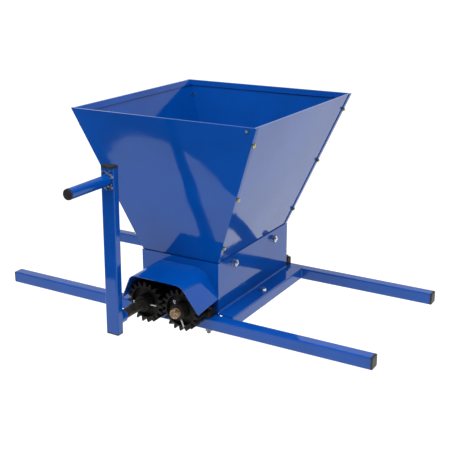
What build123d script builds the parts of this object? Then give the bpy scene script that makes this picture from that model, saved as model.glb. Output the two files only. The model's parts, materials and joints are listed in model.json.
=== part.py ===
"""Hand-cranked twin-roller fruit crusher: hopper, roller housing, gear drive and carrying rails.

Millimetres. X runs along the rails, -Y is the gear and crank side, +Z is up.
The origin is midway between the rails, in the plane of their undersides.
"""
from build123d import *
import os
from math import atan2, cos, radians, sin, tan

os.makedirs("parts", exist_ok=True)

# ---------------------------------------------------------------- driving dimensions
tube = 25.0                 # side of every square tube
tube_wall = 1.5
tube_corner = 3.0           # outer corner radius of the tube
arm_width = 29.0            # crank arm tube, across the shaft
arm_depth = 17.5            # crank arm tube, along the shaft
sheet = 1.5                 # thickness of every sheet panel
rail_length = 862.0
frame_width = 370.0         # across the outer faces of both rails
cross_x = 115.0             # centre line of each cross tube

housing_x = 185.0           # outer width of the roller housing
housing_y = 309.0           # outer depth of the roller housing
housing_top = 132.0
corner_return = 7.0         # folded edges of the front panel, over the side panels
return_gap = 0.5            # between those folded edges and the side panels' folds
fold_radius = 3.0           # of the fold between a side panel and its foot
foot_width = 36.5           # outward foot of each side panel, over its cross tube
foot_reach = 5.5            # the foot runs on past the ends of its panel, nearly to the rails
apron_bottom = 18.0         # the end panels go down between the rails and the cross tubes
apron_overlap = 4.0         # and reach this far under the feet

mouth_x = 416.8             # hopper mouth, over the side walls
mouth_y = 434.0             # hopper mouth, over the end walls
throat_x = 178.6            # hopper skirt inside the housing
throat_y = 305.6
hopper_knee = 133.0         # height where the skirt turns into the sloping wall
hopper_top = 429.0
skirt_bottom = 100.0
end_step_z = 135.5          # height where an end wall steps back to its skirt
end_step = 4.0
seam_flange = 10.0          # end wall flange folded over the side wall
rim_hem = 12.0              # folded band inside the rim
hem_gap = 0.8               # between the band and its wall

shaft_spacing = 85.0
shaft_z = 46.5
shaft_d = 20.0
shaft_chamfer = 1.0
shaft_rear_y = 190.0
driven_shaft_front_y = -243.0
drive_shaft_front_y = -311.5
running_gap = 0.05          # radial clearance of a shaft in its bearing
keyway_width = 6.0
keyway_depth = 4.0
keyway_length = 10.0
keyway_angle = 45.0

roller_d = 79.0             # over the ribs
roller_core_d = 68.0
roller_ribs = 12
roller_length = 296.0

gear_teeth = 19
gear_tip_d = 88.0
gear_root_d = 68.4
tooth_tip_angle = 2.2       # half width of a tooth seen from the gear's axis, in degrees, at its tip
tooth_middle_angle = 4.3    # halfway down
tooth_root_angle = 6.4      # and at its root
tooth_crown = 0.6           # rise of the rounded tip
tooth_root_bite = 0.5       # how far a tooth is let into the gear's body
gear_front_y = -220.0
gear_width = 30.0
gear_web_d = 64.0           # recess inside the toothed rim
gear_web = 9.0              # thickness left between the two recesses
hub_d = 33.0
hub_front_y = -232.0
hub_rear_y = -187.0
mesh_tilt = 5.0             # the tooth in mesh points this many degrees below the centre line

guard_length = 75.5         # along its foot
guard_lean = 12.3           # degrees that its front edge leans out towards the top
guard_rear = {"foot": 92.0, "foot_z": 57.4, "top": 59.0, "rise": 59.1, "shoulder": 42.0}
guard_front = {"foot": 92.5, "foot_z": 50.5, "top": 59.5, "rise": 60.9, "shoulder": 21.0}

block_inner = 42.2          # from the shaft's axis to the end of the inner lug
block_outer = 46.5          # and to the end of the outer lug
block_depth = 25.0
lug_height = 15.0
inner_bolt = 34.5           # bearing bolts, from the shaft's axis
outer_bolt = 37.5

crank_lean = 0.8            # degrees that the arm stands off vertical
crank_y = -320.5            # centre of the arm
arm_below_shaft = 24.5
arm_above_shaft = 304.5
handle_above_shaft = 282.1
handle_d = 21.0
handle_wall = 2.0
handle_end_y = -436.0
socket_d = 27.0
socket_length = 15.8
cap_height = 4.0
arm_cap_height = 5.0
cap_round = 2.0             # round edge of every cap's head
plug_wall = 2.0
plug_depth = 12.0
plug_gap = 0.2              # all round a plug, inside its tube

m8 = {"d": 8.0, "hole": 8.6, "flats": 13.0, "head": 5.3, "nut": 6.5, "tip": 2.5}
m4 = {"d": 4.0, "hole": 4.2, "flats": 7.0, "head": 2.4, "nut": 3.2, "tip": 1.4}
small = {"d": 2.5, "hole": 2.7, "flats": 5.0, "head": 1.5, "nut": 2.0, "tip": 1.0}
washer_d = 15.0
washer_t = 1.6
bearing_tip = 6.0           # of each bearing bolt, past its nut

# ---------------------------------------------------------------- places worked out from them
rail_y = (frame_width - tube) / 2
shaft_x = shaft_spacing / 2
side_wall_x = housing_x / 2 - sheet             # outer face of the housing's side panels
end_wall_y = housing_y / 2
side_lean = atan2((mouth_x - throat_x) / 2, hopper_top - hopper_knee)
end_lean = atan2((mouth_y - throat_y) / 2, hopper_top - hopper_knee)
lug_top = tube + lug_height
screw_inset = 5.5                               # seam screws, from the end wall's outer face
seam_screw_heights = (168.0, 281.0, 395.0)
rim_screw_x = 190.0
rim_screw_z = 422.0
mount_bolt_y = (-91.0, 83.0)
mount_bolt_z = 115.5
foot_bolt_y = -5.5
bearing_bolt_x = [s * (shaft_x + offset) for s in (-1, 1) for offset in (-inner_bolt, outer_bolt)]


def save(piece, name):
    """Label a finished piece and write it."""
    piece.part.label = name
    export_step(piece.part, f"parts/{name}.step")


# ---------------------------------------------------------------- tubes and their end caps
def box_tube(start, length, width=tube, depth=tube):
    """Rectangular tube from the plane start, along the plane's normal."""
    bore = 2 * tube_wall
    with BuildPart() as piece:
        with BuildSketch(start):
            RectangleRounded(width, depth, tube_corner)
            RectangleRounded(width - bore, depth - bore, tube_corner - tube_wall, mode=Mode.SUBTRACT)
        extrude(amount=length)
    return piece


def box_cap(seat, width=tube, depth=tube, height=cap_height):
    """Rounded end cap: its head stands on the plane seat, its hollow plug goes down into the tube."""
    plug = 2 * tube_wall + 2 * plug_gap
    hollow = plug + 2 * plug_wall
    with BuildPart() as piece:
        with BuildSketch(seat):
            RectangleRounded(width, depth, tube_corner)
        extrude(amount=height)
        top = piece.faces().sort_by(Axis(seat.origin, seat.z_dir))[-1]
        fillet(top.edges(), radius=cap_round)
        with BuildSketch(seat):
            RectangleRounded(width - plug, depth - plug, tube_corner - tube_wall)
            Rectangle(width - hollow, depth - hollow, mode=Mode.SUBTRACT)
        extrude(amount=-plug_depth)
    return piece


for name, side in (("front_rail", -1), ("rear_rail", 1)):
    start = Plane(origin=(-rail_length / 2, side * rail_y, tube / 2), x_dir=(0, 1, 0), z_dir=(1, 0, 0))
    rail = box_tube(start, rail_length)
    with rail:
        with Locations(*[(x, side * rail_y, tube) for x in bearing_bolt_x]):
            Hole(m8["hole"] / 2, depth=2 * tube)
    save(rail, name)
    for end_name, end in (("left", -1), ("right", 1)):
        tip = (end * rail_length / 2, side * rail_y, tube / 2)
        seat = Plane(origin=tip, x_dir=(0, 1, 0), z_dir=(end, 0, 0))
        save(box_cap(seat), f"{name}_cap_{end_name}")

cross_length = frame_width - 2 * tube
for name, side in (("left_cross_tube", -1), ("right_cross_tube", 1)):
    start = Plane(origin=(side * cross_x, -cross_length / 2, tube / 2), x_dir=(1, 0, 0), z_dir=(0, 1, 0))
    cross_tube = box_tube(start, cross_length)
    with cross_tube:
        with Locations((side * cross_x, foot_bolt_y, tube)):
            Hole(m8["hole"] / 2, depth=2 * tube)
    save(cross_tube, name)


# ---------------------------------------------------------------- roller housing
for name, side in (("housing_left_panel", -1), ("housing_right_panel", 1)):
    panel_length = housing_y - 2 * sheet
    with BuildPart() as side_panel:
        with BuildSketch(Plane.XZ.offset(-panel_length / 2)):
            with BuildLine():
                FilletPolyline(
                    (side * side_wall_x, housing_top),
                    (side * side_wall_x, tube + sheet),
                    (side * (side_wall_x + foot_width), tube + sheet),
                    radius=fold_radius,
                )
                offset(amount=sheet, side=Side.RIGHT if side > 0 else Side.LEFT)
            make_face()
        extrude(amount=panel_length)
        flat_foot = foot_width - fold_radius - sheet
        foot_x = side * (side_wall_x + foot_width - flat_foot / 2)
        foot_y = (panel_length + foot_reach) / 2
        with BuildSketch(Plane.XY.offset(tube)):
            with Locations((foot_x, -foot_y), (foot_x, foot_y)):
                Rectangle(flat_foot, foot_reach)
        extrude(amount=sheet)
        bolt_face = Plane(origin=(side * side_wall_x, 0, mount_bolt_z), x_dir=(0, 1, 0), z_dir=(side, 0, 0))
        with Locations(bolt_face):
            with Locations(*[(y, 0) for y in mount_bolt_y]):
                Hole(m8["hole"] / 2, depth=3 * sheet)
        with Locations((side * cross_x, foot_bolt_y, tube + sheet)):
            Hole(m8["hole"] / 2, depth=3 * sheet)
    save(side_panel, name)

return_bottom = tube + sheet + fold_radius + return_gap
apron_width = 2 * (side_wall_x + apron_overlap)
for name, side in (("housing_front_panel", -1), ("housing_rear_panel", 1)):
    with BuildPart() as end_panel:
        with BuildSketch(Plane.XZ.offset(-side * end_wall_y)):
            with Locations((0, (apron_bottom + housing_top) / 2)):
                Rectangle(2 * side_wall_x, housing_top - apron_bottom)
            with Locations((0, (apron_bottom + tube) / 2)):
                Rectangle(apron_width, tube - apron_bottom)
            with Locations((-shaft_x, shaft_z), (shaft_x, shaft_z)):
                Circle(shaft_d / 2 + 3, mode=Mode.SUBTRACT)
        extrude(amount=side * sheet)
        if name == "housing_front_panel":
            return_x = side_wall_x + sheet / 2
            return_y = corner_return / 2 - end_wall_y
            with BuildSketch(Plane.XY.offset(return_bottom)):
                with Locations((-return_x, return_y), (return_x, return_y)):
                    Rectangle(sheet, corner_return)
            extrude(amount=housing_top - return_bottom)
    save(end_panel, name)

lean_out = radians(guard_lean)
guard_edges = (
    (-end_wall_y, (0, -1, 0), guard_rear),
    (-end_wall_y - guard_length, (0, -cos(lean_out), -sin(lean_out)), guard_front),
)
with BuildPart() as gear_guard:
    for y, facing, size in guard_edges:
        with BuildSketch(Plane(origin=(0, y, size["foot_z"]), x_dir=(1, 0, 0), z_dir=facing)):
            with BuildLine():
                FilletPolyline(
                    (-size["foot"], 0),
                    (-size["top"], size["rise"]),
                    (size["top"], size["rise"]),
                    (size["foot"], 0),
                    radius=size["shoulder"],
                )
                offset(amount=sheet, side=Side.RIGHT)
            make_face()
    loft(ruled=True)
save(gear_guard, "gear_guard")


# ---------------------------------------------------------------- hopper
def side_face(side, inset=0.0):
    """Outer face of the left (-1) or right (+1) hopper wall, moved inwards by inset."""
    normal = (side * cos(side_lean), 0, -sin(side_lean))
    return Plane(origin=(side * throat_x / 2, 0, hopper_knee), x_dir=(0, 1, 0), z_dir=normal).offset(-inset)


def end_face(side, inset=0.0):
    """Outer face of the front (-1) or rear (+1) hopper wall, moved inwards by inset."""
    normal = (0, side * cos(end_lean), -sin(end_lean))
    return Plane(origin=(0, side * throat_y / 2, hopper_knee), x_dir=(1, 0, 0), z_dir=normal).offset(-inset)


def upright_x(side, inset=0.0):
    """Outer face of a side skirt, moved inwards by inset."""
    return Plane(origin=(side * (throat_x / 2 - inset), 0, 0), x_dir=(0, 1, 0), z_dir=(side, 0, 0))


def upright_y(side, inset=0.0):
    """Outer face of an end skirt, moved inwards by inset."""
    return Plane(origin=(0, side * (throat_y / 2 - inset), 0), x_dir=(1, 0, 0), z_dir=(0, side, 0))


def below(height):
    """Limit that keeps what is under a height."""
    return Plane.XY.offset(height)


def above(height):
    """Limit that keeps what is over a height."""
    return Plane(origin=(0, 0, height), x_dir=(1, 0, 0), z_dir=(0, 0, -1))


def flipped(plane):
    """The same plane, facing the other way."""
    return Plane(origin=plane.origin, x_dir=plane.x_dir, z_dir=-plane.z_dir)


def plate(face, limits, thickness=sheet):
    """Flat sheet behind a face, cut off at each limit; a limit keeps what lies behind it."""
    with BuildPart() as piece:
        with BuildSketch(face):
            Rectangle(3 * mouth_x, 3 * mouth_y)
        extrude(amount=-thickness)
        for limit in limits:
            split(bisect_by=limit, keep=Keep.BOTTOM)
    return piece.part


def wall_span(face, side, height):
    """Half the hopper's width at a height, measured to a wall's outer face."""
    throat, lean = (throat_x, side_lean) if face == "side" else (throat_y, end_lean)
    return side * (throat / 2 + (height - hopper_knee) * tan(lean))


def seam_screw_seat(side, end, height):
    """Plane on the outside of a seam flange where a screw's nut sits."""
    outer = side_face(side, -sheet)
    x = wall_span("side", side, height) + side * sheet / cos(side_lean)
    y = wall_span("end", end, height) - end * screw_inset / cos(end_lean)
    return Plane(origin=(x, y, height), x_dir=(0, 1, 0), z_dir=outer.z_dir)


rim_screw_y = wall_span("end", -1, rim_screw_z)
rim_seat = Plane(origin=(rim_screw_x, rim_screw_y, rim_screw_z), x_dir=(1, 0, 0), z_dir=end_face(-1).z_dir)
seam_seats = [seam_screw_seat(s, e, h) for s in (-1, 1) for e in (-1, 1) for h in seam_screw_heights]
full_wall = [below(hopper_top), above(hopper_knee)]
end_wall_band = [below(hopper_top), above(end_step_z - sheet)]
rim_fold = [below(hopper_top), above(hopper_top - sheet)]
rim_band = [below(hopper_top), above(hopper_top - rim_hem)]
fold_gap = 0.1

for name, side in (("hopper_front_panel", -1), ("hopper_rear_panel", 1)):
    between_hems = [side_face(s, 2 * sheet + hem_gap + fold_gap) for s in (-1, 1)]
    step_edges = [upright_y(side), flipped(upright_y(side, end_step + sheet))]
    skirt_sides = [upright_x(s, sheet + fold_gap) for s in (-1, 1)]
    pieces = [
        plate(end_face(side), end_wall_band + [side_face(s, -sheet) for s in (-1, 1)]),
        plate(end_face(side), rim_fold + between_hems, 2 * sheet + hem_gap),
        plate(end_face(side, sheet + hem_gap), rim_band + between_hems),
        plate(Plane.XY.offset(end_step_z), step_edges + skirt_sides),
        plate(upright_y(side, end_step), [below(end_step_z), above(skirt_bottom)] + skirt_sides),
    ]
    for edge in (-1, 1):
        limits = full_wall + [end_face(side), flipped(end_face(side, seam_flange))]
        pieces.append(plate(side_face(edge, -sheet), limits))
    with BuildPart() as end_wall:
        add(pieces)
        with Locations(*[seat for seat in seam_seats if seat.origin.Y * side > 0]):
            Hole(m4["hole"] / 2, depth=2 * sheet)
        if side < 0:
            with Locations(rim_seat):
                Hole(small["hole"] / 2, depth=4 * sheet)
    save(end_wall, name)

for name, side in (("hopper_left_panel", -1), ("hopper_right_panel", 1)):
    between_ends = [end_face(e, sheet + fold_gap) for e in (-1, 1)]
    between_skirts = [upright_y(e, end_step) for e in (-1, 1)]
    pieces = [
        plate(side_face(side), full_wall + between_ends),
        plate(side_face(side), rim_fold + between_ends, 2 * sheet + hem_gap),
        plate(side_face(side, sheet + hem_gap), rim_band + between_ends),
        plate(upright_x(side), [below(hopper_knee), above(skirt_bottom)] + between_skirts),
    ]
    with BuildPart() as side_wall:
        add(pieces)
        with Locations(*[seat for seat in seam_seats if seat.origin.X * side > 0]):
            Hole(m4["hole"] / 2, depth=3 * sheet)
        bolt_face = Plane(origin=(side * throat_x / 2, 0, mount_bolt_z), x_dir=(0, 1, 0), z_dir=(side, 0, 0))
        with Locations(bolt_face):
            with Locations(*[(y, 0) for y in mount_bolt_y]):
                Hole(m8["hole"] / 2, depth=3 * sheet)
    save(side_wall, name)


# ---------------------------------------------------------------- fasteners
def hexagons(seats, size, start, height):
    """Hexagonal prisms with a clear hole through them, standing off their seats by start."""
    with BuildPart() as group:
        with BuildSketch(*[seat.offset(start) for seat in seats]):
            RegularPolygon(size["flats"] / 2, 6, major_radius=False)
            Circle(size["d"] / 2 + running_gap, mode=Mode.SUBTRACT)
        extrude(amount=height)
    return group


def hex_bolts(seats, size, length):
    """Bolts with their hex heads on the seats and their shanks running back through them."""
    with BuildPart() as group:
        with BuildSketch(*seats):
            Circle(size["d"] / 2)
        extrude(amount=-length)
        chamfer(group.edges().filter_by(GeomType.CIRCLE), length=size["d"] / 10)
        with BuildSketch(*seats):
            RegularPolygon(size["flats"] / 2, 6, major_radius=False)
        extrude(amount=size["head"])
    return group


def pan_screws(seats, size, length):
    """Round-headed screws with their heads on the seats and their shanks running back through them."""
    with BuildPart() as group:
        with BuildSketch(*seats):
            Circle(size["flats"] / 2)
        extrude(amount=size["head"])
        with BuildSketch(*seats):
            Circle(size["d"] / 2)
        extrude(amount=-length)
    return group


def washers(seats):
    """Flat M8 washers on the seats."""
    with BuildPart() as group:
        with BuildSketch(*seats):
            Circle(washer_d / 2)
            Circle(m8["hole"] / 2, mode=Mode.SUBTRACT)
        extrude(amount=washer_t)
    return group


# seam screws: heads inside the hopper, nuts on the flanges
inner_seats = [flipped(seat.offset(-2 * sheet)) for seat in seam_seats]
seam_screw_length = 2 * sheet + m4["nut"] + m4["tip"]
save(pan_screws(inner_seats, m4, seam_screw_length), "hopper_seam_screws")
save(hexagons(seam_seats, m4, 0, m4["nut"]), "hopper_seam_nuts")

# rim screw: head inside the front wall's hem, nut outside
rim_grip = 2 * sheet + hem_gap
rim_screw_length = rim_grip + small["nut"] + small["tip"]
save(pan_screws([flipped(rim_seat.offset(-rim_grip))], small, rim_screw_length), "hopper_rim_screw")
save(hexagons([rim_seat], small, 0, small["nut"]), "hopper_rim_nut")

# hopper mounting bolts: heads inside the skirt, washers and nuts outside the housing
mount_inner = []
mount_outer = []
for side in (-1, 1):
    for y in mount_bolt_y:
        inner = (side * (throat_x / 2 - sheet), y, mount_bolt_z)
        outer = (side * side_wall_x, y, mount_bolt_z)
        mount_inner.append(Plane(origin=inner, x_dir=(0, 1, 0), z_dir=(-side, 0, 0)))
        mount_outer.append(Plane(origin=outer, x_dir=(0, 1, 0), z_dir=(side, 0, 0)))
mount_length = side_wall_x - throat_x / 2 + sheet + washer_t + m8["nut"] + m8["tip"]
save(hex_bolts(mount_inner, m8, mount_length), "hopper_mount_bolts")
save(washers(mount_outer), "hopper_mount_washers")
save(hexagons(mount_outer, m8, washer_t, m8["nut"]), "hopper_mount_nuts")

# foot bolts: down through the side panels' feet and the cross tubes
foot_tops = [Plane(origin=(side * cross_x, foot_bolt_y, tube + sheet)) for side in (-1, 1)]
under_cross = [flipped(Plane(origin=(side * cross_x, foot_bolt_y, 0))) for side in (-1, 1)]
foot_length = washer_t + sheet + tube + m8["nut"] + m8["tip"]
save(washers(foot_tops), "housing_foot_washers")
save(hex_bolts([seat.offset(washer_t) for seat in foot_tops], m8, foot_length), "housing_foot_bolts")
save(hexagons(under_cross, m8, 0, m8["nut"]), "housing_foot_nuts")

# bearing bolts: down through the block lugs and the rails
lug_points = [(x, side * rail_y) for side in (-1, 1) for x in bearing_bolt_x]
lug_seats = [Plane(origin=(x, y, lug_top)) for x, y in lug_points]
under_rail = [flipped(Plane(origin=(x, y, 0))) for x, y in lug_points]
save(hex_bolts(lug_seats, m8, lug_top + m8["nut"] + bearing_tip), "bearing_bolts")
save(hexagons(under_rail, m8, 0, m8["nut"]), "bearing_nuts")


# ---------------------------------------------------------------- bearing blocks
hump = shaft_z - tube
lug_corner = 4.0
for end_name, end in (("front", -1), ("rear", 1)):
    for side_name, side in (("left", -1), ("right", 1)):
        foot = (side * shaft_x, end * rail_y - block_depth / 2, tube)
        face = Plane(origin=foot, x_dir=(1, 0, 0), z_dir=(0, -1, 0))
        with BuildPart() as bearing_block:
            with BuildSketch(face):
                with Locations((side * (block_outer - block_inner) / 2, lug_height / 2)):
                    Rectangle(block_outer + block_inner, lug_height)
                with Locations((0, hump / 2)):
                    Rectangle(2 * hump, hump)
                with Locations((0, hump)):
                    Circle(hump)
            extrude(amount=-block_depth)
            uprights = bearing_block.edges().filter_by(Axis.Z)
            fillet([e for e in uprights if abs(e.center().X - side * shaft_x) > hump + 1], radius=lug_corner)
            with BuildSketch(face):
                with Locations((0, hump)):
                    Circle(shaft_d / 2 + running_gap)
            extrude(amount=-block_depth, mode=Mode.SUBTRACT)
            with Locations(*[(x, end * rail_y, lug_top) for x in bearing_bolt_x if x * side > 0]):
                Hole(m8["hole"] / 2, depth=2 * lug_height)
        save(bearing_block, f"bearing_block_{end_name}_{side_name}")


# ---------------------------------------------------------------- shafts, rollers and gears
pin_d = 3.2                 # split pin through each gear's hub
pin_wire = 1.5
pin_eye_d = 6.0
pin_y = (gear_front_y + hub_front_y) / 2
pin_from = -19.5
pin_to = 33.0
pin_slit = 0.2              # between the pin's legs
roller_pin_d = 6.0
roller_pin_inset = 1.0      # each end below the roller's core
roller_pin_y = 110.0
drive_pin_angle = 2.0
driven_pin_angle = -67.0


def cross_plane(x, y, angle, distance):
    """Plane across a shaft's radius at an angle from +X, the given distance out from its axis."""
    direction = Vector(cos(radians(angle)), 0, sin(radians(angle)))
    origin = Vector(x, y, shaft_z) + direction * distance
    return Plane(origin=origin, x_dir=(0, 1, 0), z_dir=direction)


def shaft(x, front_y, pin_angle):
    """Round shaft with its gear pin's hole and its roller pins' holes."""
    with BuildPart() as piece:
        with BuildSketch(Plane.XZ.offset(-shaft_rear_y)):
            with Locations((x, shaft_z)):
                Circle(shaft_d / 2)
        extrude(amount=shaft_rear_y - front_y)
        chamfer(piece.edges().filter_by(GeomType.CIRCLE), length=shaft_chamfer)
        with Locations(cross_plane(x, pin_y, pin_angle, shaft_d)):
            Hole(pin_d / 2 + running_gap, depth=2 * shaft_d)
        with Locations(*[cross_plane(x, y, 90, shaft_d) for y in (-roller_pin_y, roller_pin_y)]):
            Hole(roller_pin_d / 2 + running_gap, depth=2 * shaft_d)
    return piece


def roller(x, first_rib):
    """Ribbed crushing roller with a bore for its shaft."""
    with BuildPart() as piece:
        with BuildSketch(Plane.XZ.offset(-roller_length / 2)):
            with Locations((x, shaft_z)):
                Circle(roller_core_d / 2)
                rib = (roller_d - roller_core_d) / 2
                with PolarLocations(roller_core_d / 2, roller_ribs, start_angle=first_rib):
                    Circle(rib)
                Circle(shaft_d / 2 + running_gap, mode=Mode.SUBTRACT)
        extrude(amount=roller_length)
        with Locations(*[cross_plane(x, y, 90, roller_d) for y in (-roller_pin_y, roller_pin_y)]):
            Hole(roller_pin_d / 2 + running_gap, depth=2 * roller_d)
    return piece


def roller_pins(x):
    """The two pins that hold a roller on its shaft."""
    with BuildPart() as piece:
        start = roller_pin_inset - roller_core_d / 2
        starts = [cross_plane(x, y, 90, start) for y in (-roller_pin_y, roller_pin_y)]
        with BuildSketch(*starts):
            Circle(roller_pin_d / 2)
        extrude(amount=roller_core_d - 2 * roller_pin_inset)
    return piece


def gear(x, first_tooth, pin_angle):
    """Spur gear with long teeth, a recessed web and a hub that stands out in front."""
    root = gear_root_d / 2
    tip = gear_tip_d / 2
    middle = (root + tip) / 2

    def flank(radius, half_angle):
        return (radius * cos(radians(half_angle)), radius * sin(radians(half_angle)))

    with BuildSketch() as tooth:
        with BuildLine():
            for turn in (-1, 1):
                ThreePointArc(
                    flank(root - tooth_root_bite, turn * tooth_root_angle),
                    flank(middle, turn * tooth_middle_angle),
                    flank(tip - tooth_crown, turn * tooth_tip_angle),
                )
            ThreePointArc(
                flank(tip - tooth_crown, -tooth_tip_angle),
                flank(tip, 0),
                flank(tip - tooth_crown, tooth_tip_angle),
            )
            Line(
                flank(root - tooth_root_bite, tooth_root_angle),
                flank(root - tooth_root_bite, -tooth_root_angle),
            )
        make_face()

    with BuildPart() as piece:
        with BuildSketch(Plane.XZ.offset(-gear_front_y)):
            with Locations((x, shaft_z)):
                Circle(root)
                with PolarLocations(0, gear_teeth, start_angle=first_tooth):
                    add(tooth.sketch)
        extrude(amount=-gear_width)
        recess = (gear_width - gear_web) / 2
        for face_y, depth in ((gear_front_y, -recess), (gear_front_y + gear_width, recess)):
            with BuildSketch(Plane.XZ.offset(-face_y)):
                with Locations((x, shaft_z)):
                    Circle(gear_web_d / 2)
            extrude(amount=depth, mode=Mode.SUBTRACT)
        with BuildSketch(Plane.XZ.offset(-hub_front_y)):
            with Locations((x, shaft_z)):
                Circle(hub_d / 2)
        extrude(amount=hub_front_y - hub_rear_y)
        with BuildSketch(Plane.XZ.offset(-hub_front_y)):
            with Locations((x, shaft_z)):
                Circle(shaft_d / 2 + running_gap)
        extrude(amount=hub_front_y - hub_rear_y, mode=Mode.SUBTRACT)
        with Locations(cross_plane(x, pin_y, pin_angle, hub_d)):
            Hole(pin_d / 2 + running_gap, depth=2 * hub_d)
    return piece


def gear_pin(x, angle):
    """Split pin through a gear's hub and its shaft, with a wire eye for its head."""
    eye_radius = (pin_eye_d - pin_wire) / 2
    legs = pin_to - pin_from
    with BuildPart() as piece:
        with BuildSketch(cross_plane(x, pin_y, angle, pin_from)):
            Circle(pin_d / 2)
        extrude(amount=legs)
        with Locations(cross_plane(x, pin_y, angle, pin_from + legs / 2 + pin_d)):
            Box(pin_d, pin_slit, legs, mode=Mode.SUBTRACT)
        eye = cross_plane(x, pin_y, angle, pin_from - eye_radius)
        with Locations(Plane(origin=eye.origin, x_dir=eye.z_dir, z_dir=(0, 1, 0))):
            Torus(eye_radius, pin_wire / 2)
    return piece


tooth_pitch = 360 / gear_teeth
save(shaft(-shaft_x, drive_shaft_front_y, drive_pin_angle), "drive_shaft")
driven_shaft = shaft(shaft_x, driven_shaft_front_y, driven_pin_angle)
with driven_shaft:
    keyway_y = driven_shaft_front_y + keyway_length / 2
    with Locations(cross_plane(shaft_x, keyway_y, keyway_angle, shaft_d / 2)):
        Box(keyway_length, keyway_width, 2 * keyway_depth, mode=Mode.SUBTRACT)
save(driven_shaft, "driven_shaft")
save(roller(-shaft_x, 0), "drive_roller")
save(roller(shaft_x, 180 / roller_ribs), "driven_roller")
save(roller_pins(-shaft_x), "drive_roller_pins")
save(roller_pins(shaft_x), "driven_roller_pins")
save(gear(-shaft_x, -mesh_tilt, drive_pin_angle), "drive_gear")
save(gear(shaft_x, 180 + mesh_tilt + tooth_pitch / 2, driven_pin_angle), "driven_gear")
save(gear_pin(-shaft_x, drive_pin_angle), "drive_gear_pin")
save(gear_pin(shaft_x, driven_pin_angle), "driven_gear_pin")


# ---------------------------------------------------------------- crank
lean = radians(crank_lean)
crank_across = Vector(cos(lean), 0, -sin(lean))
crank_up = Vector(sin(lean), 0, cos(lean))


def crank_point(y, height):
    """Point on the arm's centre plane, the given height along the arm from the shaft."""
    return Vector(-shaft_x, y, shaft_z) + crank_up * height


arm_start = Plane(origin=crank_point(crank_y, -arm_below_shaft), x_dir=crank_across, z_dir=crank_up)
arm_end = Plane(origin=crank_point(crank_y, arm_above_shaft), x_dir=crank_across, z_dir=crank_up)
save(box_tube(arm_start, arm_above_shaft + arm_below_shaft, arm_width, arm_depth), "crank_arm")
save(box_cap(arm_end, arm_width, arm_depth, arm_cap_height), "crank_arm_top_cap")
save(box_cap(flipped(arm_start), arm_width, arm_depth), "crank_arm_bottom_cap")

arm_back_y = crank_y + arm_depth / 2
arm_front_y = crank_y - arm_depth / 2
with BuildPart() as crank_socket:
    with BuildSketch(Plane(origin=crank_point(arm_back_y, 0), x_dir=crank_across, z_dir=(0, 1, 0))):
        Circle(socket_d / 2)
        Circle(shaft_d / 2 + running_gap, mode=Mode.SUBTRACT)
    extrude(amount=socket_length)
    screw_y = arm_back_y + socket_length / 2
    with BuildSketch(cross_plane(-shaft_x, screw_y, -90, shaft_d / 2)):
        Circle(m8["d"] / 2 + running_gap)
    extrude(amount=socket_d, mode=Mode.SUBTRACT)
save(crank_socket, "crank_socket")

set_screw_length = 8.0
hex_socket = 4.0
with BuildPart() as crank_set_screw:
    with BuildSketch(cross_plane(-shaft_x, screw_y, -90, shaft_d / 2 + running_gap)):
        Circle(m8["d"] / 2)
    extrude(amount=set_screw_length)
    with BuildSketch(cross_plane(-shaft_x, screw_y, -90, shaft_d / 2 + running_gap + set_screw_length)):
        RegularPolygon(hex_socket / 2, 6, major_radius=False)
    extrude(amount=-hex_socket, mode=Mode.SUBTRACT)
save(crank_set_screw, "crank_set_screw")

handle_root = crank_point(arm_front_y, handle_above_shaft)
handle_tip = crank_point(handle_end_y, handle_above_shaft)
handle_start = Plane(origin=handle_root, x_dir=crank_across, z_dir=(0, -1, 0))
handle_end = Plane(origin=handle_tip, x_dir=crank_across, z_dir=(0, -1, 0))
with BuildPart() as crank_handle:
    with BuildSketch(handle_start):
        Circle(handle_d / 2)
        Circle(handle_d / 2 - handle_wall, mode=Mode.SUBTRACT)
    extrude(amount=arm_front_y - handle_end_y)
save(crank_handle, "crank_handle")

with BuildPart() as crank_handle_cap:
    with BuildSketch(handle_end):
        Circle(handle_d / 2 - plug_gap)
    extrude(amount=cap_height)
    fillet(crank_handle_cap.edges().filter_by(GeomType.CIRCLE).sort_by(Axis.Y)[0], radius=cap_round)
    with BuildSketch(handle_end):
        Circle(handle_d / 2 - handle_wall - plug_gap)
        Circle(handle_d / 2 - handle_wall - plug_gap - plug_wall, mode=Mode.SUBTRACT)
    extrude(amount=-plug_depth)
save(crank_handle_cap, "crank_handle_cap")
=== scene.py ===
import bpy
import bmesh
import json
import math
import random
from mathutils import Matrix, Vector


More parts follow.
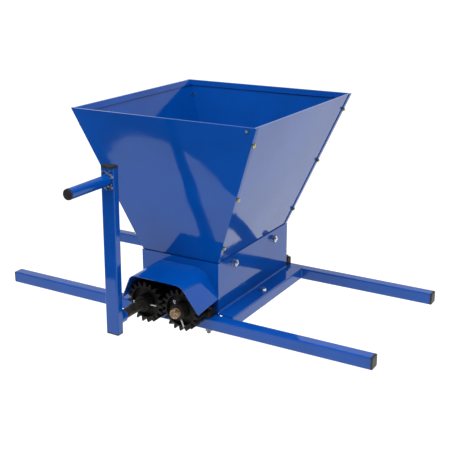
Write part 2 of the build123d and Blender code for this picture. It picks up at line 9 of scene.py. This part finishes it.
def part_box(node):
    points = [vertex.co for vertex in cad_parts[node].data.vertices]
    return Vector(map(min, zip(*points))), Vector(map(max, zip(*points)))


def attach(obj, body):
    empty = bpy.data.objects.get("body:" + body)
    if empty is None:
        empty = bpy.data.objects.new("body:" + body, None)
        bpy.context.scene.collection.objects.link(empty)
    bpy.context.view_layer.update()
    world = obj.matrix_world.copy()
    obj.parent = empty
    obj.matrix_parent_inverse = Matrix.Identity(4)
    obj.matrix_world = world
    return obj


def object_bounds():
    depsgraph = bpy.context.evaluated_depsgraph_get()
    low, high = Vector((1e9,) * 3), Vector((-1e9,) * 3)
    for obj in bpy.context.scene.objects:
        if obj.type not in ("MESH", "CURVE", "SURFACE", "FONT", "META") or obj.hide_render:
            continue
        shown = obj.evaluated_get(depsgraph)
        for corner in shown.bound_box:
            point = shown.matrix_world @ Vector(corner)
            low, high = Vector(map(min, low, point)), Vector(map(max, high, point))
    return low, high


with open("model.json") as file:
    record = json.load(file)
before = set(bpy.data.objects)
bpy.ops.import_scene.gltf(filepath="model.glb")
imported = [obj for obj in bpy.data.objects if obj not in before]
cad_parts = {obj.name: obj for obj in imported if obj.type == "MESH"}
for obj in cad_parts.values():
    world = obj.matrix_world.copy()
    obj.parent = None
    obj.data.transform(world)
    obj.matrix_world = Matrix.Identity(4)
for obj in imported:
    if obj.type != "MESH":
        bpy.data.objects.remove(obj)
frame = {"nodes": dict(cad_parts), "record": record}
cad_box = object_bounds()
nodes = frame["nodes"]
slot_of = {s["node"]: s["material_slot"] for s in frame["record"]["subparts"]}
scene = bpy.context.scene

# ---------------------------------------------------------------- sizes, in metres
thread_pitch = 0.00125
rust_edge_y = (-0.2935, -0.2905)    # where the drive shaft's rust fades out behind the crank's socket
ripple_pitch = 0.0022               # along every weld bead
rings_per_ripple = 4
ring_sides = 12
tube_bead = 0.0024                  # radius of the beads between rails and cross tubes
tube_bead_inset = 0.0014            # of the bead along a cross tube's top edge
handle_bead = 0.0018
handle_bead_out = 0.0006            # of the handle's beads, from the tube's wall
socket_bead = 0.0011
guard_bead = 0.0016                 # short beads up the guard's sides
ridge_bead = 0.0007                 # thin bead along the guard's rear edge
ridge_bend = 0.042                  # bend between the guard's flat top and its slopes
ridge_slope = 29.2                  # degrees the slopes stand off the vertical
ridge_slope_length = 0.040
ridge_corner_x = 0.0344             # where each bend starts
guard_foot = 0.007                  # the guard's slopes start this far over its lowest edge
guard_lean = 0.0330 / 0.0591        # how far the guard's sides lean in as they rise
floor_drop = 0.03                   # of the floor, under the lowest point of the crank's circle
stage_size = 60.0
wall_away = 29.0


# ---------------------------------------------------------------- material building blocks
class Nodes:
    """Short ways to build a node tree."""

    def __init__(self, tree):
        self.tree = tree

    def new(self, kind):
        return self.tree.nodes.new(kind)

    def link(self, value, socket):
        """Wire another node's output into a socket, or set the socket to a constant."""
        if hasattr(value, "is_linked"):
            self.tree.links.new(value, socket)
        else:
            socket.default_value = value

    def spread(self, value, lo, hi, out_lo=0.0, out_hi=1.0):
        """Map lo..hi smoothly to out_lo..out_hi."""
        node = self.new("ShaderNodeMapRange")
        node.interpolation_type = "SMOOTHSTEP"
        self.link(value, node.inputs["Value"])
        for key, number in (("From Min", lo), ("From Max", hi), ("To Min", out_lo), ("To Max", out_hi)):
            node.inputs[key].default_value = number
        return node.outputs["Result"]

    def math(self, kind, a, b):
        node = self.new("ShaderNodeMath")
        node.operation = kind
        self.link(a, node.inputs[0])
        self.link(b, node.inputs[1])
        return node.outputs[0]


class Graph(Nodes):
    """A material's node graph around one Principled shader, in object coordinates (metres)."""

    def __init__(self, name):
        self.mat = bpy.data.materials.new(name)
        self.mat.use_nodes = True
        super().__init__(self.mat.node_tree)
        self.tree.nodes.clear()
        self.shader = self.new("ShaderNodeBsdfPrincipled")
        self.tree.links.new(self.shader.outputs[0], self.new("ShaderNodeOutputMaterial").inputs[0])
        self.where = self.new("ShaderNodeTexCoord").outputs["Object"]

    def set(self, **values):
        """Set the shader's inputs, named with underscores for spaces."""
        for key, value in values.items():
            self.link(value, self.shader.inputs[key.replace("_", " ")])

    def noise(self, scale, detail=3.0, roughness=0.55, stretch=None, shift=0.0):
        vector = self.where
        if stretch or shift:
            mapping = self.new("ShaderNodeMapping")
            mapping.inputs["Scale"].default_value = stretch or (1, 1, 1)
            mapping.inputs["Location"].default_value = (shift, shift, shift)
            self.link(vector, mapping.inputs["Vector"])
            vector = mapping.outputs[0]
        node = self.new("ShaderNodeTexNoise")
        self.link(vector, node.inputs["Vector"])
        node.inputs["Scale"].default_value = scale
        node.inputs["Detail"].default_value = detail
        node.inputs["Roughness"].default_value = roughness
        return node.outputs["Fac"]

    def axis(self, letter):
        node = self.new("ShaderNodeSeparateXYZ")
        self.link(self.where, node.inputs[0])
        return node.outputs[letter]

    def mix(self, factor, a, b):
        node = self.new("ShaderNodeMix")
        node.data_type = "RGBA"
        self.link(factor, node.inputs["Factor"])
        for key, value in (("A", a), ("B", b)):
            socket = [s for s in node.inputs if s.name == key and s.type == "RGBA"][0]
            self.link(value if hasattr(value, "is_linked") else (*value, 1.0), socket)
        return [s for s in node.outputs if s.type == "RGBA"][0]

    def bump(self, *layers):
        """Stack (height, depth in metres) layers into the shader's normal."""
        normal = None
        for height, depth in layers:
            node = self.new("ShaderNodeBump")
            node.inputs["Strength"].default_value = 1.0
            node.inputs["Distance"].default_value = depth
            self.link(height, node.inputs["Height"])
            if normal is not None:
                self.link(normal, node.inputs["Normal"])
            normal = node.outputs[0]
        self.link(normal, self.shader.inputs["Normal"])


def sheet_warp(g):
    """A thin hopper sheet's twist, and the bow of its upper part, as heights in metres."""
    x, z = g.axis("X"), g.axis("Z")
    twist_rate, twist_foot = -0.30, 0.15
    twist = g.math("MULTIPLY", g.math("MULTIPLY", x, g.math("SUBTRACT", z, twist_foot)), twist_rate)
    bow_middle, bow_lean, bow_fall, bow_foot = 0.021, 0.055, 5.0, 0.28
    away = g.math("SUBTRACT", x, bow_middle)
    lean = g.math("SUBTRACT", bow_lean, g.math("MULTIPLY", g.math("MULTIPLY", away, away), bow_fall))
    upper = g.math("MULTIPLY", g.spread(z, 0.25, 0.33), g.math("SUBTRACT", z, bow_foot))
    return [(twist, 1.0), (g.math("MULTIPLY", lean, upper), 1.0)]


def blue_paint(name="blue_paint", warp=None):
    """Glossy enamel, waved a little as sheet and tube are."""
    g = Graph(name)
    tone = g.mix(g.spread(g.noise(7.0), 0.35, 0.65), (0.0001, 0.043, 0.240), (0.0002, 0.050, 0.278))
    dust = g.spread(g.noise(520.0, 2.0), 0.70, 0.78, 0.0, 0.05)
    colour = g.mix(dust, tone, (0.08, 0.16, 0.40))
    rough = g.spread(g.noise(24.0, 4.0), 0.3, 0.7, 0.045, 0.085)
    g.set(Base_Color=colour, Roughness=rough, IOR=1.52, Specular_Tint=(0.78, 0.90, 1.0, 1.0))
    layers = [(g.noise(5.5, 1.0), 0.0020), (g.noise(62.0, 2.0), 0.00008), (g.noise(420.0, 2.0), 0.00002)]
    if warp:
        layers = warp(g) + layers
    g.bump(*layers)
    return g.mat


def black_coat_and_bolt_shade(g):
    """The castings' mottled black; on the bearing bolts' heads the same black is painted shade under the
    gear guard.
    """
    return g.mix(g.spread(g.noise(60.0), 0.35, 0.7), (0.0048, 0.0045, 0.0040), (0.0120, 0.0112, 0.0098))


def black_iron():
    """Cast iron under a satin black coat, with a little grit."""
    g = Graph("black_iron")
    tone = black_coat_and_bolt_shade(g)
    grit = g.spread(g.noise(300.0, 4.0), 0.60, 0.74, 0.0, 0.35)
    colour = g.mix(grit, tone, (0.034, 0.031, 0.028))
    g.set(Base_Color=colour, Roughness=g.spread(g.noise(90.0), 0.3, 0.7, 0.45, 0.66), IOR=1.25)
    g.bump((g.noise(260.0, 4.0), 0.0003), (g.noise(1500.0, 2.0), 0.00008))
    return g.mat


def blackened_steel():
    """Black turned bar, rusty where it leaves the crank's socket."""
    g = Graph("blackened_steel")
    tone = g.mix(g.spread(g.noise(70.0), 0.35, 0.7), (0.0090, 0.0082, 0.0062), (0.0220, 0.0200, 0.0160))
    near_socket = g.spread(g.axis("Y"), *rust_edge_y, 1.0, 0.0)
    rusty = g.math("MULTIPLY", near_socket, g.spread(g.noise(240.0, 5.0), 0.30, 0.50, 0.35, 1.0))
    colour = g.mix(rusty, tone, (0.42, 0.19, 0.07))
    rough = g.spread(g.noise(120.0), 0.3, 0.7, 0.40, 0.60)
    g.set(Base_Color=colour, Roughness=rough, Metallic=0.0, IOR=1.32)
    g.bump((g.noise(40.0, 3.0, stretch=(1.0, 18.0, 1.0)), 0.00006), (g.noise(700.0, 3.0), 0.00005))
    return g.mat


def bare_steel():
    """Turned bar gone rusty and pitted."""
    g = Graph("bare_steel")
    rust = g.spread(g.noise(190.0, 6.0, 0.62), 0.36, 0.56)
    pits = g.spread(g.noise(520.0, 4.0, 0.6), 0.46, 0.62)
    steel = g.mix(g.noise(60.0, 2.0), (0.46, 0.37, 0.25), (0.66, 0.56, 0.42))
    colour = g.mix(rust, steel, (0.25, 0.140, 0.060))
    colour = g.mix(pits, colour, (0.060, 0.034, 0.024))
    g.set(Base_Color=colour, Metallic=g.spread(rust, 0.0, 1.0, 0.85, 0.15),
          Roughness=g.spread(rust, 0.0, 1.0, 0.36, 0.72))
    g.bump((pits, 0.0001), (g.noise(1100.0, 3.0), 0.00006))
    return g.mat


def cast_aluminium():
    """Satin castings."""
    g = Graph("cast_aluminium")
    colour = g.mix(g.spread(g.noise(35.0, 4.0), 0.3, 0.7), (0.44, 0.45, 0.46), (0.64, 0.65, 0.66))
    g.set(Base_Color=colour, Metallic=1.0, Roughness=g.spread(g.noise(60.0, 4.0), 0.3, 0.7, 0.34, 0.52))
    g.bump((g.noise(120.0, 4.0), 0.0003), (g.noise(900.0, 3.0), 0.00008))
    return g.mat


def zinc_plate(name="zinc_plate", dark=(0.58, 0.60, 0.61), light=(0.82, 0.84, 0.85)):
    """Zinc plate, bright unless given darker tones, which serve as painted shade."""
    g = Graph(name)
    colour = g.mix(g.spread(g.noise(180.0, 3.0), 0.35, 0.7), dark, light)
    g.set(Base_Color=colour, Metallic=1.0, Roughness=g.spread(g.noise(320.0, 3.0), 0.3, 0.7, 0.20, 0.36))
    g.bump((g.noise(1300.0, 3.0), 0.00006))
    return g.mat


def bolt_in_painted_shade():
    """Black from the head down to the rail's underside, as painted shade under the gear guard; bare thread
    below it, darkened as painted shade under the rail.
    """
    g = Graph("bolt_in_painted_shade")
    height = g.axis("Z")
    tail = g.spread(height, -0.001, 0.001, 1.0, 0.0)
    # painted shade: the head is black for the shade under the gear guard, and the thread is dull for the
    # shade under the rail
    bare = g.mix(g.noise(400.0, 3.0), (0.10, 0.11, 0.09), (0.30, 0.32, 0.28))
    colour = g.mix(tail, black_coat_and_bolt_shade(g), bare)
    g.set(Base_Color=colour, Metallic=tail, Roughness=g.spread(g.noise(90.0), 0.3, 0.7, 0.34, 0.55))
    thread = g.math("SINE", g.math("MULTIPLY", height, 2 * math.pi / thread_pitch), 0.0)
    g.bump((g.math("MULTIPLY", thread, tail), 0.00025), (g.noise(900.0, 3.0), 0.00006))
    return g.mat


def brass_plate():
    """Yellow passivated fasteners."""
    g = Graph("brass_plate")
    colour = g.mix(g.spread(g.noise(260.0, 3.0), 0.35, 0.7), (0.60, 0.52, 0.12), (0.88, 0.84, 0.34))
    g.set(Base_Color=colour, Metallic=1.0, Roughness=g.spread(g.noise(400.0, 3.0), 0.3, 0.7, 0.22, 0.40))
    g.bump((g.noise(1500.0, 3.0), 0.00005))
    return g.mat


def black_plastic():
    """Moulded polythene caps."""
    g = Graph("black_plastic")
    colour = g.mix(g.spread(g.noise(90.0, 3.0), 0.3, 0.7), (0.006, 0.006, 0.006), (0.015, 0.0148, 0.0145))
    g.set(Base_Color=colour, Roughness=g.spread(g.noise(200.0, 3.0), 0.3, 0.7, 0.42, 0.58), IOR=1.48)
    g.bump((g.noise(1800.0, 2.0), 0.00006))
    return g.mat


def weld_metal():
    """Spatter: bright metal, paint and dark specks."""
    g = Graph("weld_metal")
    bare = g.spread(g.noise(330.0, 4.0), 0.46, 0.56)
    dark_specks = g.spread(g.noise(300.0, 4.0, shift=3.0), 0.46, 0.56)
    colour = g.mix(bare, (0.010, 0.055, 0.22), (0.62, 0.64, 0.66))
    colour = g.mix(dark_specks, colour, (0.010, 0.014, 0.026))
    rough = g.spread(dark_specks, 0.0, 1.0, 0.22, 0.6)
    g.set(Base_Color=colour, Metallic=g.math("MULTIPLY", bare, 0.9), Roughness=rough)
    g.bump((g.noise(900.0, 3.0), 0.0002))
    return g.mat


def floor_paint():
    """Pale floor that shines a little, so that it ends in white."""
    g = Graph("floor_paint")
    colour = g.mix(g.noise(2.0, 3.0), (0.17, 0.17, 0.17), (0.20, 0.20, 0.20))
    g.set(Base_Color=colour, Roughness=g.spread(g.noise(30.0), 0.3, 0.7, 0.6, 0.75))
    g.set(Emission_Color=(1.0, 1.0, 1.0, 1.0), Emission_Strength=0.95)
    return g.mat


looks = {f.__name__: f() for f in (blue_paint, black_iron, blackened_steel, bare_steel, cast_aluminium,
                                   zinc_plate, brass_plate, black_plastic, weld_metal)}


own_looks = {
    "hopper_front_panel": blue_paint("blue_paint_front_sheet", sheet_warp),
    # painted shade: the bearing bolts are darkened for the shade under the gear guard and the rails
    "bearing_bolts": bolt_in_painted_shade(),
    # painted shade: the nuts under the rails take darkened zinc tones
    "bearing_nuts": zinc_plate("zinc_in_painted_shade", (0.10, 0.11, 0.09), (0.24, 0.26, 0.22)),
}
for name, node in nodes.items():
    node.data.materials.clear()
    node.data.materials.append(own_looks.get(name, looks[slot_of[name]]))


# ---------------------------------------------------------------- weld beads and spatter
def mesh_object(name, bm):
    """Put a finished mesh into the scene."""
    mesh = bpy.data.meshes.new(name)
    bm.to_mesh(mesh)
    bm.free()
    obj = bpy.data.objects.new(name, mesh)
    scene.collection.objects.link(obj)
    return obj


def smooth_piece(name, bm, look, body):
    """A visual piece that rides on a body, smoothly shaded but for its sharp edges."""
    bmesh.ops.recalc_face_normals(bm, faces=bm.faces)
    obj = mesh_object(name, bm)
    obj.data.materials.append(looks[look])
    for polygon in obj.data.polygons:
        polygon.use_smooth = True
    obj.data.set_sharp_from_angle(angle=math.radians(60.0))
    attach(obj, body)


def weld(name, path, body, radius, seed):
    """A rippled weld bead along a path of points."""
    rng = random.Random(seed)
    points = [Vector(p) for p in path]
    rings = []
    for a, b in zip(points, points[1:]):
        steps = max(2, round((b - a).length / (ripple_pitch / rings_per_ripple)))
        for k in range(steps):
            rings.append((a.lerp(b, k / steps), (b - a).normalized()))
    rings.append((points[-1], (points[-1] - points[-2]).normalized()))
    bm = bmesh.new()
    loops = []
    wander = 0.0
    for k, (point, along) in enumerate(rings):
        wander = 0.9 * wander + rng.uniform(-1, 1) * 0.05
        ripple = 1.0 + 0.13 * abs(math.sin(math.pi * k / rings_per_ripple)) + wander
        end = min(k, len(rings) - 1 - k)
        size = radius * ripple * min(1.0, 0.55 + 0.12 * end)
        side = along.cross(Vector((0.31, 0.47, 0.83))).normalized()
        other = along.cross(side)
        ring = []
        for j in range(ring_sides):
            angle = 2 * math.pi * j / ring_sides
            ring.append(bm.verts.new(point + (side * math.cos(angle) + other * math.sin(angle)) * size))
        loops.append(ring)
    for one, two in zip(loops, loops[1:]):
        for j in range(ring_sides):
            after = (j + 1) % ring_sides
            bm.faces.new((one[j], one[after], two[after], two[j]))
    bm.faces.new(loops[0])
    bm.faces.new(reversed(loops[-1]))
    smooth_piece(name, bm, "blue_paint", body)


def spatter(name, lumps, body, seed):
    """Lumps of weld metal: each is (centre, radius, flattening along Y)."""
    rng = random.Random(seed)
    bm = bmesh.new()
    for centre, radius, flat in lumps:
        made = bmesh.ops.create_icosphere(bm, subdivisions=3, radius=1.0)
        phase = [rng.uniform(0, 6.28) for _ in range(6)]
        for vert in made["verts"]:
            x, y, z = vert.co
            swell = 1 + 0.16 * math.sin(4.1 * x + phase[0]) * math.sin(3.7 * z + phase[1])
            swell += 0.10 * math.sin(7.3 * z + phase[2]) * math.sin(6.1 * y + phase[3])
            vert.co = Vector(centre) + Vector((x, y * flat, z)) * radius * swell
    smooth_piece(name, bm, "weld_metal", body)


for name, side in (("left_cross_tube", -1), ("right_cross_tube", 1)):
    lo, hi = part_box(name)
    for end, y, turn in (("front", lo.y, 1), ("rear", hi.y, -1)):
        for edge, x in (("inner", lo.x if side > 0 else hi.x), ("outer", hi.x if side > 0 else lo.x)):
            weld(f"weld_{name}_{end}_{edge}", [(x, y, lo.z + 0.003), (x, y, hi.z - 0.003)], "frame",
                 tube_bead, seed=len(name) + turn + side)
        if end == "rear":
            seam_y, seam_z = y + tube_bead_inset, hi.z - tube_bead_inset
            weld(f"weld_{name}_{end}_top", [(lo.x + 0.002, seam_y, seam_z), (hi.x - 0.002, seam_y, seam_z)],
                 "frame", tube_bead, seed=3 + side)
        else:
            rng = random.Random(17 + side)
            dabs = []
            for share in (0.30, 0.36, 0.58, 0.80):
                spot = (lo.x + (hi.x - lo.x) * share, y - rng.uniform(0.0, 0.002), hi.z - 0.0010)
                dabs.append((spot, rng.uniform(0.0008, 0.0013), 1.0))
            spatter(f"spatter_{name}", dabs, "frame", seed=29 + side)

grip_lo, grip_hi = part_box("crank_handle")
grip = Vector(((grip_lo.x + grip_hi.x) / 2, grip_hi.y, (grip_lo.z + grip_hi.z) / 2))
grip_r = (grip_hi.x - grip_lo.x) / 2


def arc(centre, radius, start, stop, count=18):
    """Points round a circle that stands across Y, in degrees from +X towards +Z."""
    angles = [math.radians(start + (stop - start) * k / count) for k in range(count + 1)]
    return [centre + Vector((radius * math.cos(a), 0, radius * math.sin(a))) for a in angles]


weld("weld_handle_over", arc(grip, grip_r + handle_bead_out, 35, 145), "drive", handle_bead, seed=5)
weld("weld_handle_under", arc(grip, grip_r + handle_bead_out, 215, 325), "drive", handle_bead, seed=6)
for name, start, stop, seed in (("over", 28, 118, 41), ("under", 248, 318, 42)):
    rng = random.Random(seed)
    lumps = []
    for k in range(14):
        angle = math.radians(start + (stop - start) * (k % 7) / 6 + rng.uniform(-5, 5))
        reach = grip_r + (rng.uniform(0.0042, 0.0078) if k > 6 else rng.uniform(0.0005, 0.0030))
        spot = grip + Vector((reach * math.cos(angle), -0.0004, reach * math.sin(angle)))
        lumps.append((spot, rng.uniform(0.0016, 0.0029), 0.8))
    spatter(f"spatter_handle_{name}", lumps, "drive", seed=seed)
ring_lo, ring_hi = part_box("crank_socket")
socket = Vector(((ring_lo.x + ring_hi.x) / 2, ring_lo.y, (ring_lo.z + ring_hi.z) / 2))
weld("weld_socket", arc(socket, (ring_hi.x - ring_lo.x) / 2, 0, 360, 40), "drive", socket_bead, seed=7)


# the guard's rear edge is run round with a thin bead: flat top, a bend either side, then the slopes
guard_lo, guard_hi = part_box("gear_guard")
slope = math.radians(ridge_slope)
ridge = []
for side in (-1, 1):
    centre = Vector((side * ridge_corner_x, guard_hi.y, guard_hi.z - ridge_bend))
    turn = arc(centre, ridge_bend, 90 - side * 90 + side * ridge_slope, 90, 10)
    foot = turn[0] + Vector((side * math.sin(slope), 0, -math.cos(slope))) * ridge_slope_length
    ridge.extend([foot, *turn] if side < 0 else [*reversed(turn), foot])
weld("weld_guard_rear", [point - Vector((0, 0.0002, 0)) for point in ridge], "frame", ridge_bead, seed=12)
for side, name in ((-1, "left"), (1, "right")):
    for k, z in enumerate((guard_lo.z + 0.016, guard_hi.z - 0.022)):
        x = side * (guard_hi.x - 0.002 - guard_lean * (z - guard_lo.z - guard_foot))
        bead_run = [(x, guard_hi.y, z), (x - side * 0.008, guard_hi.y, z + 0.012)]
        weld(f"weld_guard_{name}_{k}", bead_run, "frame", guard_bead, seed=9 + k + side)


# ---------------------------------------------------------------- floor, light and camera
def panel(name, size, place, facing=None):
    """A flat four-cornered stage piece."""
    bm = bmesh.new()
    corners = [(x * size[0] / 2, y * size[1] / 2, 0) for x, y in ((-1, -1), (1, -1), (1, 1), (-1, 1))]
    bm.faces.new([bm.verts.new(corner) for corner in corners])
    obj = mesh_object(name, bm)
    obj.location = place
    if facing is not None:
        obj.rotation_euler = Vector(facing).to_track_quat("Z", "Y").to_euler()
    return obj


def glow(name, colour, strength=1.0):
    """A material that only shines."""
    mat = bpy.data.materials.new(name)
    mat.use_nodes = True
    nodes = mat.node_tree.nodes
    shine = nodes.new("ShaderNodeEmission")
    shine.inputs["Color"].default_value = (*colour, 1.0)
    shine.inputs["Strength"].default_value = strength
    mat.node_tree.links.new(shine.outputs[0], nodes["Material Output"].inputs[0])
    return mat


def seen_only_by(obj, ray):
    """Leave a stage piece visible to one kind of ray."""
    obj.visible_camera = ray == "camera"
    obj.visible_glossy = ray == "glossy"
    obj.visible_diffuse = False
    obj.visible_shadow = False
    obj.visible_transmission = False


# the floor lies below the crank's whole circle: in use the rails rest on a tub, well above the ground
shaft_lo, shaft_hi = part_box("drive_shaft")
arm_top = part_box("crank_arm_top_cap")[1].z
floor_z = shaft_lo.z + shaft_hi.z - arm_top - floor_drop
floor = panel("floor", (stage_size, stage_size), (0, 0, floor_z))
floor.data.materials.append(floor_paint())

# the dark edge of the studio, seen only as a reflection in the gloss
dark_edge = panel("studio_edge", (7.0, 4.0), (0, -2.62, cad_box[0][2]))
dark_edge.data.materials.append(glow("studio_shade", (0.10, 0.11, 0.13)))
seen_only_by(dark_edge, "glossy")

# white walls far off, seen only by the camera, so that every view ends in white
glow_wall = glow("studio_wall", (1.0, 1.0, 1.0), 1.2)
for name, x, y in (("left", -1, 0), ("right", 1, 0), ("front", 0, -1), ("rear", 0, 1)):
    place = (wall_away * x, wall_away * y, floor_z + wall_away)
    wall = panel(f"studio_wall_{name}", (stage_size, stage_size), place, (-x, -y, 0))
    wall.data.materials.append(glow_wall)
    seen_only_by(wall, "camera")

# the sky is white all round, but dim low down in front, overhead and up on the right
world = bpy.data.worlds.new("studio")
world.use_nodes = True
sky = Nodes(world.node_tree)
direction = sky.new("ShaderNodeSeparateXYZ")
sky.link(sky.new("ShaderNodeTexCoord").outputs["Generated"], direction.inputs[0])
in_front = sky.spread(direction.outputs["Y"], -0.45, -0.10, 0.10, 1.0)
low_down = sky.spread(direction.outputs["Z"], 0.15, 0.55, 0.0, 1.0)
overhead = sky.spread(direction.outputs["Z"], 0.35, 0.75, 0.82, 0.45)
to_right = sky.spread(direction.outputs["X"], 0.15, 0.40, 0.0, 0.8)
raised = sky.spread(direction.outputs["Z"], 0.27, 0.36, 0.0, 1.0)
right_gap = sky.math("SUBTRACT", 1.0, sky.math("MULTIPLY", to_right, raised))
strength = sky.math("MULTIPLY", sky.math("MAXIMUM", in_front, low_down), overhead)
backdrop = sky.tree.nodes["Background"]
sky.link(sky.math("MULTIPLY", strength, right_gap), backdrop.inputs["Strength"])
sky.link((1.0, 1.0, 1.0, 1.0), backdrop.inputs["Color"])
scene.world = world


def area(name, place, size, power, target=(0, 0, 0.15)):
    """A rectangular lamp aimed at the target, and kept out of reflections."""
    data = bpy.data.lights.new(name, "AREA")
    data.shape = "RECTANGLE"
    data.size, data.size_y = size
    data.energy = power
    obj = bpy.data.objects.new(name, data)
    scene.collection.objects.link(obj)
    obj.location = place
    obj.rotation_euler = (Vector(target) - Vector(place)).to_track_quat("-Z", "Y").to_euler()
    obj.visible_glossy = False
    return obj


area("key", (-1.2, -2.4, 2.6), (2.4, 2.4), 32)
area("fill", (2.0, -0.6, 3.0), (2.0, 2.0), 85)
area("top", (0.2, -1.6, 2.9), (2.2, 2.2), 90)

camera_data = bpy.data.cameras.new("camera")
camera_data.sensor_width = 36.0
camera_data.lens = 68.94
camera_data.clip_end = 100.0
camera = bpy.data.objects.new("camera", camera_data)
scene.collection.objects.link(camera)
azimuth, elevation, roll = math.radians(30.52), math.radians(18.10), math.radians(-0.214)
level = math.cos(elevation)
back = Vector((math.sin(azimuth) * level, -math.cos(azimuth) * level, math.sin(elevation)))
aim = back.to_track_quat("Z", "Y").to_matrix().to_4x4()
camera.matrix_world = Matrix.Translation((0.9188, -1.5292, 0.7387)) @ aim @ Matrix.Rotation(roll, 4, "Z")
scene.camera = camera
scene.view_settings.view_transform = "Standard"
